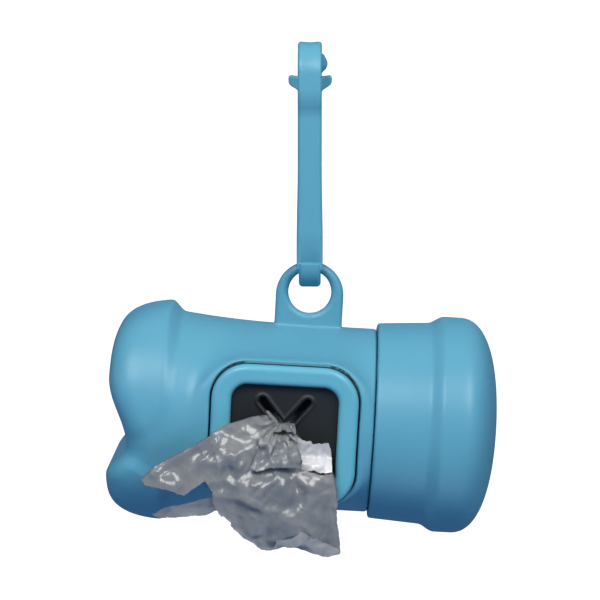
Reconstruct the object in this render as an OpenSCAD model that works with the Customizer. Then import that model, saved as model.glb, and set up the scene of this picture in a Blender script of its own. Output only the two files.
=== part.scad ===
// Bone shaped dispenser for a roll of waste bags, hanging from a flexible plastic hook.
// Millimetres. The origin is the inside of the hook's crown, where the strap or ring bears.
// +Z is up, +X is to the right and -Y faces the viewer.

/* [Hook] */
// Inside height of the hook's loop
loop_h = 48.7; // [44:0.1:56]
// Inside radius of the bottom bend
bend_r = 2.8; // [2.7:0.05:3.2]
// Inside radius of the crown
head_r = 4.4; // [4:0.1:6]
// Thickness of the hook's bar
bar_t = 3.0; // [2.6:0.1:3.2]
// Width of the bar in the crown and the gate
bar_w = 5.2; // [4.6:0.1:5.4]
// Width of the bar in the spine
spine_w = 5.4; // [4.8:0.1:5.6]
// Width of the bar in the bottom bend
bend_w = 4.9; // [4.4:0.1:5.2]
// How far the wide spine reaches down past the bend's centre
spine_lap = 1.5; // [0.5:0.1:2]
// Rounding of the bar's edges
bar_round = 0.9; // [0.5:0.1:1.2]
// Length of straight bar below the crown's half turn
head_drop = 3.5; // [2:0.1:6]
// Centre line radius of the bends under the head
neck_bend_r = 4.0; // [3:0.1:6]
// Width over the gate's thumb ears
ear_span = 9.75; // [8:0.25:12]
// Height of the thumb ears at the root
ear_root_h = 3.2; // [2.4:0.1:3.6]
// Height of the thumb ears at the tips
ear_tip_h = 2.1; // [1.4:0.1:2.6]
// How far the ears' tips rise over their root
ear_lift = 0.3; // [0:0.1:1]
// Thickness of the thumb ears from front to back
ear_t = 2.3; // [1.8:0.1:3]
// Bevel of the ears' corners
ear_bevel = 0.4; // [0.2:0.1:0.6]
// Width of the nose's knob
nose_w = 5.4; // [5:0.1:8]
// How far the knob stands off to the right
nose_shift = 1.2; // [0:0.1:1.5]
// Diameter of the nose's knob
nose_d = 4.0; // [3.4:0.1:4.4]
// Diameter of the gate's flexing root
knuckle_d = 3.2; // [3:0.1:3.4]

/* [Eyelet] */
// Diameter of the eyelet hole
eye_d = 9.6; // [8.8:0.1:10]
// Width of the eyelet tab
tab_w = 15.2; // [14:0.1:17]
// Height of plastic over the eyelet hole
tab_rim = 2.1; // [1.6:0.1:2.2]
// Thickness of the tab
tab_t = 3.0; // [2.4:0.1:3.2]
// Height of the eyelet's centre over the tube's axis
eye_h = 28.6; // [27:0.1:31]
// Distance of the tab's centre from the lid's seam
tab_s = 15.5; // [12:0.1:20]
// Tilt of the hanging body, in degrees
hang_tilt = 3.1; // [0:0.1:5]

/* [Body] */
// Outside radius of the tube at its waist
tube_r = 20.7; // [20.4:0.05:21.5]
// How much the tube widens towards its closed end
flare = 1.65; // [0:0.05:2]
// Length over which the tube widens
flare_len = 35; // [25:1:38]
// Length of the tube from the seam to the bone end's step
tube_l = 43; // [40:0.1:50]
// Radius of the chamber that holds the roll
bore_r = 18.2; // [17.4:0.1:18.3]
// Wall thickness of the bone ends
end_wall = 2.2; // [1.8:0.1:2.6]
// Radius over the lobes
lobe_r = 25; // [23.5:0.1:25.8]
// Length of the body's lobes
lobe_l = 15.4; // [14:0.1:17]
// Depth of the notch between the lobes
notch_d = 4.4; // [2:0.1:5]
// Height of the notch over the axis
notch_rise = -4.9; // [-6:0.1:0]
// Height of the upper lobe's end over the axis
high_lobe_h = 10.1; // [9:0.1:15]
// Depth of the lower lobe's end under the axis
low_lobe_h = 12.8; // [11:0.1:17]
// Share of the lobes' height that is left at the bone end's sides
lobe_side_share = 0.15; // [0:0.05:1]
// Distance from the step to the top of the lobes
lobe_start = 2; // [1.5:0.1:3]
// Squareness of the lobes' outline
lobe_square = 3.2; // [2:0.1:4]
// Width of the step between tube and lobe
step_w = 3.6; // [2:0.1:5]
// Corner radius of the lobes' edge
lobe_corner_r = 12; // [8:0.5:13]
// Half width of the groove between the lobes
groove_half = 1.0; // [0.5:0.1:3]
// Rounding between a bone end's side and its end
rim_blend = 7; // [3:0.5:8]

/* [Lid] */
// Outside radius of the skirt at the seam
skirt_r = 22; // [21.5:0.05:22.5]
// How much the skirt widens towards the lobes
skirt_flare = 0.85; // [0:0.05:1.2]
// Length of the skirt from the seam to the lobes' step
skirt_l = 13.4; // [13:0.1:18]
// Outside radius of the lid's bulb
bulb_r = 24.3; // [23.5:0.1:25.2]
// Length of the bulb from the step to its end
bulb_l = 14.5; // [12:0.1:15]
// Length of the bulb's domed end
bulb_dome = 9.3; // [7:0.1:11]
// Squareness of the bulb's outline
bulb_square = 2.4; // [2:0.1:3.2]
// Length of the neck that the skirt slides over
neck_l = 13.6; // [10:0.1:13.8]
// Outside radius of the neck
neck_r = 19.55; // [19.3:0.05:19.6]
// Height of the neck's two friction beads
bead_h = 0.2; // [0.05:0.05:0.2]
// Radial play between the beads and the skirt
skirt_play = 0.06; // [0.05:0.01:0.1]
// Gap between the skirt's edge and the tube's shoulder
seam_gap = 0.2; // [0.1:0.05:0.5]

/* [Window] */
// Distance of the window's centre from the seam
window_s = 19.5; // [19:0.1:21]
// Width of the frame
frame_w = 31.8; // [30:0.1:33]
// Height of the frame
frame_h = 30.7; // [29:0.1:32]
// Width of the frame's band
frame_band = 4.3; // [3.8:0.1:4.8]
// Outside corner radius of the frame
frame_corner_r = 7.8; // [6:0.1:9]
// Thickness of the frame
frame_t = 1.9; // [1.5:0.1:2.4]
// Rounding of the frame's front edges
frame_round = 0.7; // [0.3:0.1:0.9]
// Distance of the frame's seat from the tube's axis
seat_y = 19.8; // [19.4:0.1:20.2]
// Thickness of the rubber flange under the frame
flange_t = 1.2; // [0.8:0.1:1.6]
// How far the rubber shows beside the frame
flange_show = 0.6; // [0.2:0.1:0.9]
// Gap between neighbouring pieces in the window
window_gap = 0.05; // [0.03:0.01:0.2]
// Side clearance of the rubber in the body
rubber_clear = 0.25; // [0.1:0.05:0.4]
// Width of the pedestal round the frame
pedestal_edge = 0.9; // [0.5:0.1:1.5]
// Blend between pedestal and tube
pedestal_blend = 5; // [2:0.5:6]
// Diameter of the frame's clip posts
post_d = 2.0; // [1.6:0.1:2.4]
// Depth of the clip posts in the body
post_depth = 3.0; // [2:0.1:4]
// Width of the crossed slots
slit_w = 1.8; // [1.2:0.1:2]
// Length of a slot's arm from the crossing
slit_arm = 7.6; // [6:0.1:8]
// Angle of the slots to the horizontal, in degrees
slit_angle = 47; // [40:1:50]
// Height of the crossing over the window's centre
slit_rise = 2.3; // [0:0.1:3]

/* [Bags] */
// Radius of the full roll
roll_r = 15.7; // [12:0.1:15.8]
// Length of the roll
roll_l = 58; // [54:0.5:59]
// Bore radius of the cardboard core
core_r = 6.5; // [5.5:0.1:7.5]
// Wall of the cardboard core
core_wall = 0.8; // [0.5:0.1:1.2]
// Clearance of loose pieces
loose_gap = 0.3; // [0.2:0.05:0.4]
// Distance of the roll's left end from the seam
roll_s = 46.1; // [45:0.1:46.3]
// Width of the drawn bag
bag_w = 41.6; // [34:0.1:43]
// Height of the drawn bag
bag_h = 30.4; // [24:0.1:34]
// Thickness of the drawn bag
bag_t = 9; // [6:0.5:12]
// Thickness of the crumpled film
film_t = 2.4; // [1:0.1:4]

/* [Hidden] */
$fn = 64;
// One overrun serves every cut
over = 1;
// Segments round the bone ends, rows over the closed end, rows along the straight part
around = 48;
fan_rows = 11;
tube_rows = 12;
bulb_steps = 20;
step_rows = 6;
search_steps = 18;

// Hook
bend_z = bend_r - loop_h;
head_z = -head_r;
bend_c = bend_r + bar_t / 2;
head_c = head_r + bar_t / 2;
neck_turn = acos(1 - (head_c - bend_c) / (2 * neck_bend_r));
neck_h = 2 * neck_bend_r * sin(neck_turn);
neck_top_z = head_z - head_drop;
neck_low_z = neck_top_z - neck_h;
cup_angle = 15;
cup_gap = 0.05;
gate_gap = 0.3;
nose_rise = 0.2;
gate_top_z = head_z - gate_gap;

// Eyelet: the bar's rounded edges touch the hole before the bar's face does
eye_r = eye_d / 2;
bar_flat = bend_w / 2 - bar_round;
eye_sag = eye_r - sqrt(pow(eye_r - bar_round, 2) - pow(bar_flat, 2)) - bar_round;
eye_drop = bend_r - eye_sag - loose_gap;
eye_z = bend_z - eye_r - eye_drop;
eye_round_share = 0.3;
eye_round = tab_t * eye_round_share;

// Window
frame_open_w = frame_w - 2 * frame_band;
frame_open_h = frame_h - 2 * frame_band;
seat_w = frame_w + 2 * flange_show;
membrane_y = seat_y + window_gap;
frame_y = membrane_y + flange_t + window_gap;
frame_front = frame_y + frame_t;
window_lap = 0.7;
hole_w = frame_open_w - 2 * window_lap;
hole_h = frame_open_h - 2 * window_lap;
hole_corner_r = frame_corner_r - frame_band;
plug_l = 1.4;
post_x = frame_w / 2 - frame_corner_r + (frame_corner_r - frame_band / 2) * cos(45);
post_z = frame_h / 2 - frame_corner_r + (frame_corner_r - frame_band / 2) * sin(45);

// Bone ends: how sharply the tube widens, and how far the close rows over the step reach
flare_power = 2.65;
step_reach = 1.5 * step_w;

// Lid
skirt_bore_r = neck_r + bead_h + skirt_play;
bead_r = 0.9;
bead_s_shares = [0.28, 0.78];
skirt_bore_l = neck_l + 2 * seam_gap;

// Bags
roll_drop = bore_r - roll_r - loose_gap;
neck_film_r = slit_w / 2 / sin(45) - loose_gap;
film_back = frame_front + loose_gap;
// Outline of the drawn bag from the slit's crossing: shares of its width, height and thickness
bag_outline_shares = [
  [0.065, 0.06, 0.05], [-0.04, 0.1, 0.03], [-0.13, 0.115, 0.07], [-0.24, 0.06, 0.14],
  [-0.41, -0.06, 0.25], [-0.57, -0.22, 0.34], [-0.71, -0.34, 0.48], [-0.625, -0.4, 0.54],
  [-0.49, -0.465, 0.5], [-0.36, -0.495, 0.55],
  [-0.58, -0.56, 0.42], [-0.66, -0.62, 0.38], [-0.4, -0.62, 0.48], [-0.29, -0.61, 0.52], [-0.25, -0.69, 0.55],
  [-0.135, -0.8, 0.55], [-0.087, -0.84, 0.54], [0.067, -0.84, 0.54], [0.23, -0.9, 0.5], [0.3, -0.89, 0.43],
  [0.295, -0.575, 0.36], [0.267, -0.31, 0.3], [0.248, -0.125, 0.05], [0.15, -0.13, 0.05],
  [0.077, -0.066, 0.06]];
// Middle of the bag, its depth and the flat share round it, and the size shares of its rings
bag_middle_shares = [-0.15, -0.45, 0.78];
bag_flat_share = 0.45;
bag_ring_shares = [0.6, 1, 0.96, 0.6];

// Smooth minimum and maximum of two distances, blended over k
function smooth_min(a, b, k) = min(a, b) - pow(max(k - abs(a - b), 0), 2) / (4 * k);
function smooth_max(a, b, k) = -smooth_min(-a, -b, k);
// Smooth rise from 0 to 1 as x passes from 0 to w
function rise(x, w) = let(t = min(1, max(0, x / w))) t * t * (3 - 2 * t);

// How far a point lies inside a lobe's edge: d past the step, h from the notch
function lobe_inside(d, h) = let(q = h - groove_half)
  (d < lobe_corner_r && q < lobe_corner_r)
    ? lobe_corner_r - norm([lobe_corner_r - d, lobe_corner_r - q]) : min(d, q);

// Distance of the bone's end from its step: h from the notch, lobe end at top, lobe edge at edge
function lobe_end(h, top, edge, l) = let(t = min(1, max(0, (h - top) / (edge - top))))
  h < top ? l - notch_d * (1 + cos(180 * h / top)) / 2
    : l - (l - lobe_start) * (1 - pow(1 - pow(t, lobe_square), 1 / lobe_square));

// Height of the side over the tube's radius, as a share: full on the lobes, less beside them
function lobe_share(a, b) = lobe_side_share
  + (1 - lobe_side_share) * a * a / max(a * a + b * b, loose_gap);

// The body's bone end, negative inside: d past the step, a towards the lobes and b across
function bone_form(d, a, b, r) = let(high = a > notch_rise, h = abs(a - notch_rise),
    top = high ? high_lobe_h - notch_rise : low_lobe_h + notch_rise,
    edge = high ? lobe_r - notch_rise : lobe_r + notch_rise)
  smooth_max(norm([a, b]) - r - (lobe_r - r) * lobe_share(a, b) * rise(lobe_inside(d, h), step_w),
    d - lobe_end(h, top, edge, lobe_l), rim_blend);

// Distance to a rounded rectangle in its own plane
function plate_form(x, z, w, h, r) = let(q = [abs(x) - w / 2 + r, abs(z) - h / 2 + r])
  norm([max(q[0], 0), max(q[1], 0)]) + min(max(q[0], q[1]), 0) - r;

function tube_at(s) = tube_r
  + flare * pow(min(1, max(0, (-s - tube_l + flare_len) / flare_len)), flare_power);

// Outer form of the body: s along the axis from the seam, y and z across
function body_form(s, y, z) = smooth_min(bone_form(-s - tube_l, z, y, tube_at(s)),
  smooth_max(plate_form(s + window_s, z, seat_w + 2 * pedestal_edge, frame_h + 2 * pedestal_edge,
    frame_corner_r + pedestal_edge), max(-y - seat_y - flange_t / 2, y), step_w / 2), pedestal_blend);

// Distance along a ray from c in direction v to where the body's form reaches a level
function reach(c, v, level, lo, hi, n) = let(m = (lo + hi) / 2, p = c + m * v)
  n == 0 ? m : body_form(p[0], p[1], p[2]) < level ? reach(c, v, level, m, hi, n - 1)
    : reach(c, v, level, lo, m, n - 1);

// Points of one ring: rays leave the axis at s, lean degrees from square towards the closed end
function ring(s, lean, level, limit) = let(c = [s, 0, 0], far = min(2 * lobe_r, limit / cos(lean))) [
  for (i = [0 : around - 1]) let(t = 360 * i / around,
    v = [-sin(lean), cos(lean) * cos(t), cos(lean) * sin(t)])
    c + v * reach(c, v, level, 0, far, search_steps)];

// Closed skin over rings of points, with a point at each end
module skin(rings, first, last) {
  n = len(rings[0]);
  m = len(rings);
  points = concat([first], [for (r = rings) for (p = r) p], [last]);
  faces = concat([for (i = [0 : n - 1]) [0, 1 + (i + 1) % n, 1 + i]],
    [for (j = [0 : m - 2]) for (i = [0 : n - 1]) let(a = 1 + j * n + i, b = 1 + j * n + (i + 1) % n)
      each [[a, b, a + n], [b, b + n, a + n]]],
    [for (i = [0 : n - 1]) [1 + m * n, 1 + (m - 1) * n + i, 1 + (m - 1) * n + (i + 1) % n]]);
  polyhedron(points, faces);
}

// Rounded rectangle, exact at its corners
module plate(w, h, r) {
  square([w - 2 * r, h], center = true);
  square([w, h - 2 * r], center = true);
  for (x = [-1, 1]) for (y = [-1, 1]) translate([x * (w / 2 - r), y * (h / 2 - r)]) circle(r);
}

// A flat shape of the window set upright at distance y in front of the axis, t thick
module upright(y, t) {
  translate([-window_s, -y, 0]) rotate([90, 0, 0]) linear_extrude(t) children();
}

// The dispenser's own frame: the seam's centre is the origin and the axis runs along X
module hung() {
  translate([0, 0, eye_z]) rotate([0, hang_tilt, 0]) translate([tab_s, 0, -eye_h]) children();
}

// A stretch of bar, w wide, round a centre in the hook's own plane
module bar_arc(y, z, r, from, turn, w) {
  translate([0, y, z]) rotate([90, 0, 90]) rotate(from) rotate_extrude(angle = turn)
    translate([r, 0]) plate(bar_t, w, bar_round);
}

// A straight stretch of bar, w wide, between two heights
module bar_run(y, low, high, w) {
  translate([0, y, low]) linear_extrude(high - low) rotate(90) plate(bar_t, w, bar_round);
}

// The two gentle bends that widen the loop into its head, side -1 front and 1 back
module bar_neck(side, w) {
  mirror([0, side < 0 ? 1 : 0, 0]) {
    bar_arc(bend_c + neck_bend_r, neck_low_z, neck_bend_r, 180 - neck_turn, neck_turn, w);
    bar_arc(head_c - neck_bend_r, neck_top_z, neck_bend_r, -neck_turn, neck_turn, w);
  }
}

module hook_frame() color("#4aa6c8") {
  difference() {
    bar_arc(0, bend_z, bend_c, 180, 180 - cup_angle, bend_w);
    translate([0, bend_c, bend_z]) rotate([0, 90, 0])
      cylinder(h = bend_w + 2 * over, r = knuckle_d / 2 + cup_gap, center = true);
  }
  bar_run(-bend_c, bend_z - spine_lap, neck_low_z, spine_w);
  bar_neck(-1, spine_w);
  bar_run(-head_c, neck_top_z, head_z, spine_w);
  bar_arc(0, head_z, head_c, 0, 180, bar_w);
  nose();
}

// Rounded knob on the free end of the crown
module nose() {
  r = nose_d / 2;
  reach_x = nose_w / 2 - r;
  translate([nose_shift, head_c, head_z + nose_rise + r]) {
    rotate([0, 90, 0]) cylinder(h = 2 * reach_x, r = r, center = true);
    for (x = [-1, 1]) translate([x * reach_x, 0, 0]) sphere(r);
  }
}

module hook_gate() color("#4aa6c8") {
  translate([0, bend_c, bend_z]) rotate([0, 90, 0]) root();
  bar_run(bend_c, bend_z, neck_low_z, bar_w);
  bar_neck(1, bar_w);
  bar_run(head_c, neck_top_z, gate_top_z - bar_round, bar_w);
  thumb_bar();
}

// Round root of the gate, its ends rounded like the bar's edges so that it clears the eyelet
module root() {
  rotate_extrude() intersection() {
    plate(knuckle_d, bend_w, bar_round);
    translate([0, -bend_w / 2]) square([knuckle_d / 2, bend_w]);
  }
}

// Thumb piece across the gate's tip: two blunt ears with bevelled corners
module thumb_bar() {
  x = ear_span / 2;
  ear = [[bar_w / 2, -ear_lift], [x - ear_bevel, 0], [x, -ear_bevel], [x, ear_bevel - ear_tip_h],
    [x - ear_bevel, -ear_tip_h], [bar_w / 2, -ear_lift - ear_root_h]];
  other = [for (i = [len(ear) - 1 : -1 : 0]) [-ear[i][0], ear[i][1]]];
  translate([0, head_c + ear_t / 2, gate_top_z]) rotate([90, 0, 0]) linear_extrude(ear_t)
    polygon(concat(ear, other));
}

// Tab with rounded edges that rises from the tube to the eyelet
module tab() {
  r = tab_w / 2;
  translate([-tab_s, 0, eye_h]) {
    translate([0, 0, eye_r + tab_rim - r]) rotate([90, 0, 0]) rotate_extrude() intersection() {
      plate(tab_w, tab_t, eye_round);
      translate([0, -tab_t / 2]) square([r, tab_t]);
    }
    foot = tube_r - end_wall / 2;
    translate([0, 0, foot - eye_h]) linear_extrude(eye_h - foot + eye_r + tab_rim - r)
      plate(tab_w, tab_t, eye_round);
  }
}

// Cutter for a hole whose two rims are rounded
module eye_cut() {
  translate([-tab_s, 0, eye_h]) rotate([90, 0, 0]) rotate_extrude() difference() {
    translate([0, -tab_t / 2 - over]) square([eye_r + eye_round, tab_t + 2 * over]);
    translate([eye_r, eye_round - tab_t / 2]) square([eye_round + over, tab_t - 2 * eye_round]);
    for (y = [-1, 1]) translate([eye_r + eye_round, y * (tab_t / 2 - eye_round)]) circle(eye_round);
  }
}

// Rings of the body's outside, from the seam to the closed end
function body_rings() = let(row = (tube_l - step_w / 2) / tube_rows, close = step_reach / step_rows) concat(
  [for (i = [0 : tube_rows]) ring(-i * row, 0, 0, 2 * lobe_r)],
  [for (i = [1 : step_rows]) ring(step_w / 2 - tube_l - i * close, 0, 0, 2 * lobe_r)],
  [for (i = [1 : fan_rows - 1]) ring(-tube_l - step_w, 90 * i / fan_rows, 0, 2 * lobe_r)]);

// The middle of the body's closed end, or the point at a depth under it
function tip(level) = let(c = [-tube_l - step_w, 0, 0])
  c - [reach(c, [-1, 0, 0], level, 0, lobe_r, search_steps), 0, 0];

module body_shell() color("#4aa6c8") hung() {
  difference() {
    union() {
      skin(body_rings(), [0, 0, 0], tip(0));
      tab();
      neck();
    }
    chamber();
    window_cut();
    eye_cut();
  }
}

// Bored chamber, and the hollow of the closed end within the bore's width
module chamber() {
  pocket_s = tube_l + step_w;
  translate([-pocket_s, 0, 0]) rotate([0, 90, 0]) cylinder(h = pocket_s + neck_l + over, r = bore_r);
  pocket = [for (i = [0 : fan_rows - 1]) ring(-pocket_s, 90 * i / fan_rows, -end_wall, bore_r - loose_gap)];
  skin(concat([[for (p = pocket[0]) p + [step_w / 2, 0, 0]]], pocket), [step_w / 2 - pocket_s, 0, 0],
    tip(-end_wall));
}

// Neck with two friction beads
module neck() {
  rotate([0, 90, 0]) translate([0, 0, -end_wall]) cylinder(h = neck_l + end_wall, r = neck_r);
  for (share = bead_s_shares) translate([share * neck_l, 0, 0]) rotate([0, 90, 0]) rotate_extrude()
    translate([neck_r + bead_h - bead_r, 0]) circle(bead_r);
}

// Seat for the rubber flange, opening behind the slots and holes for the clip posts
module window_cut() {
  upright(seat_y, lobe_r) plate(seat_w + 2 * rubber_clear, frame_h + 2 * rubber_clear,
    frame_corner_r + rubber_clear);
  upright(0, seat_y + over) plate(hole_w, hole_h, hole_corner_r);
  upright(seat_y - post_depth, post_depth + over) posts(post_d / 2 + window_gap);
}

module posts(r) {
  for (x = [-1, 1]) for (z = [-1, 1]) translate([x * post_x, z * post_z]) circle(r);
}

module slit_membrane() color("#23282a") hung() {
  difference() {
    union() {
      upright(membrane_y, flange_t) plate(seat_w, frame_h, frame_corner_r);
      upright(membrane_y - plug_l, plug_l + flange_t / 2)
        plate(hole_w - 2 * rubber_clear, hole_h - 2 * rubber_clear, hole_corner_r - rubber_clear);
    }
    upright(membrane_y - plug_l - over, plug_l + flange_t + 2 * over) slots();
    upright(membrane_y - over, flange_t + 2 * over) posts(post_d / 2 + window_gap);
  }
}

module slots() {
  for (a = [-slit_angle, slit_angle]) translate([0, slit_rise]) rotate(a) {
    square([2 * slit_arm, slit_w], center = true);
    for (x = [-1, 1]) translate([x * slit_arm, 0]) circle(slit_w / 2);
  }
}

// Section of the frame's band with rounded front edges
module band_section() {
  square([frame_band, frame_t - frame_round]);
  translate([frame_round, 0]) square([frame_band - 2 * frame_round, frame_t]);
  for (x = [frame_round, frame_band - frame_round]) translate([x, frame_t - frame_round]) circle(frame_round);
}

module window_bezel() color("#59b4d2") hung() {
  upright(membrane_y - post_depth + 2 * window_gap, post_depth + flange_t + frame_t / 2) posts(post_d / 2);
  in_r = frame_corner_r - frame_band;
  run_w = frame_w - 2 * frame_corner_r;
  run_h = frame_h - 2 * frame_corner_r;
  translate([-window_s, -frame_y, 0]) rotate([90, 0, 0]) {
    for (x = [0, 1]) for (y = [0, 1]) mirror([x, 0]) mirror([0, y]) {
      translate([run_w / 2, run_h / 2]) rotate_extrude(angle = 90) translate([in_r, 0]) band_section();
    }
    for (y = [0, 1]) mirror([0, y]) translate([-run_w / 2, run_h / 2 + in_r]) rotate([90, 0, 90])
      linear_extrude(run_w) band_section();
    for (x = [0, 1]) mirror([x, 0]) translate([run_w / 2 + in_r, run_h / 2]) rotate([90, 0, 0])
      linear_extrude(run_h) band_section();
  }
}

// Radius of the lid's outside at a distance from the seam
function lid_r_at(s) = let(r = skirt_r + skirt_flare * min(1, s / skirt_l))
  r + (bulb_r - r) * rise(s - skirt_l + step_w / 2, step_w);

// The domed end of the lid from its edge to its middle, sunk by depth and no wider than limit
function dome(depth, limit) = let(q = 2 / bulb_square) [
  for (i = [0 : bulb_steps]) let(t = 90 * i / bulb_steps) [min(limit, bulb_r * pow(cos(t), q)),
    skirt_l + bulb_l - bulb_dome * (1 - pow(sin(t), q)) - depth]];

module end_cap() color("#4aa6c8") hung() rotate([0, 90, 0]) rotate_extrude() {
  run = skirt_l + bulb_l - bulb_dome - seam_gap;
  inner = dome(end_wall, bore_r);
  polygon(concat([[skirt_bore_r, seam_gap]],
    [for (i = [0 : bulb_steps - 1]) let(s = seam_gap + run * i / bulb_steps) [lid_r_at(s), s]],
    dome(0, bulb_r), [for (i = [bulb_steps : -1 : 0]) inner[i]],
    [[bore_r, skirt_bore_l], [skirt_bore_r, skirt_bore_l]]));
}

// Places a roll part on the axis of the roll, which lies on the chamber's floor
module on_roll_axis() {
  hung() translate([-roll_s, 0, -roll_drop]) rotate([0, 90, 0]) children();
}

module roll_core() color("#b99a6b") on_roll_axis() difference() {
  cylinder(h = roll_l, r = core_r + core_wall);
  translate([0, 0, -over]) cylinder(h = roll_l + 2 * over, r = core_r);
}

module bag_roll() color("#8b9398") on_roll_axis() difference() {
  cylinder(h = roll_l, r = roll_r);
  translate([0, 0, -over]) cylinder(h = roll_l + 2 * over, r = core_r + core_wall);
}

// Point of the drawn bag: k out from its middle towards an outline share, back behind its front
function bag_point(share, k, back) = let(m = bag_middle_shares, p = m + k * (share - m),
    depth = m[2] + (share[2] - m[2]) * max(0, k - bag_flat_share) / (1 - bag_flat_share))
  [p[0] * bag_w, -film_back - max(0, depth * bag_t - back), p[1] * bag_h];

// Drawn bag: its gathered neck passes the crossing of the slots
module dispensed_bag() color("#a3adb2") hung() translate([-window_s, 0, slit_rise]) {
  tail_y = sqrt(pow(roll_r, 2) - pow(slit_rise + roll_drop, 2)) + loose_gap;
  translate([0, -tail_y, 0]) rotate([90, 0, 0])
    cylinder(h = film_back + film_t / 2 - tail_y, r = neck_film_r);
  layers = [for (i = [0 : 3]) let(k = bag_ring_shares[i])
    [for (p = bag_outline_shares) bag_point(p, k, i < 2 ? 0 : film_t)]];
  rotate([0, -hang_tilt, 0])
    skin(layers, bag_point(bag_middle_shares, 0, 0), bag_point(bag_middle_shares, 0, film_t));
}

hook_frame();
hook_gate();
body_shell();
end_cap();
slit_membrane();
window_bezel();
roll_core();
bag_roll();
dispensed_bag();
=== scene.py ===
# Bone shaped waste bag dispenser: the looks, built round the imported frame.
import math

import bpy
import numpy as np
from mathutils import Matrix, Vector
from mathutils.geometry import delaunay_2d_cdt


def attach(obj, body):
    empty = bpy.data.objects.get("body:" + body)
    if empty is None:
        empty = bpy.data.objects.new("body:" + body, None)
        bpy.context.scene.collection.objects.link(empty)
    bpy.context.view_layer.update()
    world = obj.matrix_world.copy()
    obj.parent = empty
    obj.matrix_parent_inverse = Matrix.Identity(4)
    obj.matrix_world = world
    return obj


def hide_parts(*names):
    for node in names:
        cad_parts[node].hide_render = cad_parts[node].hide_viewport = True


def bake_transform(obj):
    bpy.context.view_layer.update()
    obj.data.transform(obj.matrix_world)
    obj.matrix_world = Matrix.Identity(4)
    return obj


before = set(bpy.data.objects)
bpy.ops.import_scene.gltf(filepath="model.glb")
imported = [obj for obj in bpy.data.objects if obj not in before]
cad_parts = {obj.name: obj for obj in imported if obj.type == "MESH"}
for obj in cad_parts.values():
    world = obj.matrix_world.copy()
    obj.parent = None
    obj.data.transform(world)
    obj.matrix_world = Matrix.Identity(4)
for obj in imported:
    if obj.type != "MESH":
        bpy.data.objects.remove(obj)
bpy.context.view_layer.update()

# Real sizes in millimetres, with the names of the part's source where it has them.
# The dispenser's own frame has s along the tube from the seam, y to the back and v up.
MM = 0.001

# Hook; the looks bend its neck more gently than the solids do, by under 0.3 mm
LOOP_H = 48.7
BEND_R = 2.8
HEAD_R = 4.4
BAR_T = 3.0
BAR_W = 5.2
BEND_W = 4.9
BAR_ROUND = 0.9
SPINE_LAP = 1.5
HEAD_DROP = 3.1
NECK_BEND_R = 7.0
CUP_ANGLE = 15
CUP_GAP = 0.05

# The spine widens downwards, and its face is dished at the head and deeper over the ledge
SPINE_W = BAR_W + 0.1
SWELL = 0.5
SWELL_Z = -24
SWELL_L = 18
HEAD_DISH = 0.3
HEAD_DISH_Z = -16
HEAD_DISH_L = 12
LEDGE_DISH = 1.4
LEDGE_DISH_Z = -39.0
LEDGE_DISH_L = 6.9
LEDGE_DISH_POWER = 1.8

# Gate with its thumb ears
KNUCKLE_D = 3.2
GATE_GAP = 0.3
ARM_TOP_GAP = 0.9
EAR_SPAN = 9.75
EAR_ROOT_H = 3.2
EAR_TIP_H = 2.1
EAR_LIFT = 0.3
EAR_T = 2.3

# Knob on the hook's nose, and the smaller bump over it
NOSE_W = 5.4
NOSE_D = 4.0
NOSE_SHIFT = 1.2
NOSE_RISE = 0.2
BUMP_W = 4.35
BUMP_R = 1.0
BUMP_SHIFT = 1.175
BUMP_RISE = 3.5

# Eyelet
EYE_R = 4.8
TAB_W = 15.2
TAB_RIM = 2.1
TAB_T = 3.0
EYE_H = 28.6
TAB_S = 15.5
HANG_TILT = 3.1

# Body with its bone end
TUBE_R = 20.7
FLARE = 1.65
FLARE_LEN = 35
FLARE_POWER = 2.65
TUBE_L = 43.0
BORE_R = 18.2
END_WALL = 2.2
LOBE_R = 25.0
LOBE_L = 15.4
NOTCH_D = 4.4
NOTCH_RISE = -4.9
HIGH_LOBE_H = 10.1
LOW_LOBE_H = 12.8
LOBE_SIDE_SHARE = 0.15
LOBE_START = 2.0
LOBE_SQUARE = 3.2
STEP_W = 3.6
LOBE_CORNER_R = 12
GROOVE_HALF = 1.0
RIM_BLEND = 7
# Keeps the lobes' share of the side defined on the axis, in square millimetres
AXIS_FLOOR = 0.3

# Cap and the neck that it slides over
SKIRT_R = 22.0
SKIRT_FLARE = 0.85
SKIRT_L = 13.4
BULB_R = 24.3
BULB_L = 14.5
BULB_DOME = 9.3
BULB_SQUARE = 2.4
NECK_L = 13.6
NECK_R = 19.55
BEAD_H = 0.2
BEAD_R = 0.9
BEAD_S_SHARES = (0.28, 0.78)
SKIRT_PLAY = 0.06
SEAM_GAP = 0.2

# Window; beside the frame the looks show 0.35 mm less rubber and 0.15 mm less gap than the solids do
WINDOW_S = 19.5
FRAME_W = 31.8
FRAME_H = 30.7
FRAME_BAND = 4.3
FRAME_CORNER_R = 7.8
FRAME_T = 1.9
SEAT_Y = 19.8
SEAT_CLEAR = 0.1
FLANGE_T = 1.2
FLANGE_SHOW = 0.25
WINDOW_GAP = 0.05
WINDOW_LAP = 0.7
RUBBER_CLEAR = 0.25
PLUG_L = 1.4
PEDESTAL_W = 34.8
PEDESTAL_EDGE = 0.9
PEDESTAL_ROUND = 1.8
PEDESTAL_BLEND = 5

# Slots as the photo shows them, within 1.4 mm of the solids' ones, and the raised lip round them
SLIT_W = 1.55
SLIT_ARM = 7.7
SLIT_ANGLE = 51
SLIT_RISE = 1.4
LIP_H = 0.28
LIP_W = 0.38
LIP_AWAY = 0.55

# Roll of bags on its core
ROLL_R = 15.7
ROLL_L = 58
ROLL_S = 46.1
CORE_R = 6.5
CORE_WALL = 0.8
LOOSE_GAP = 0.3

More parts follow.
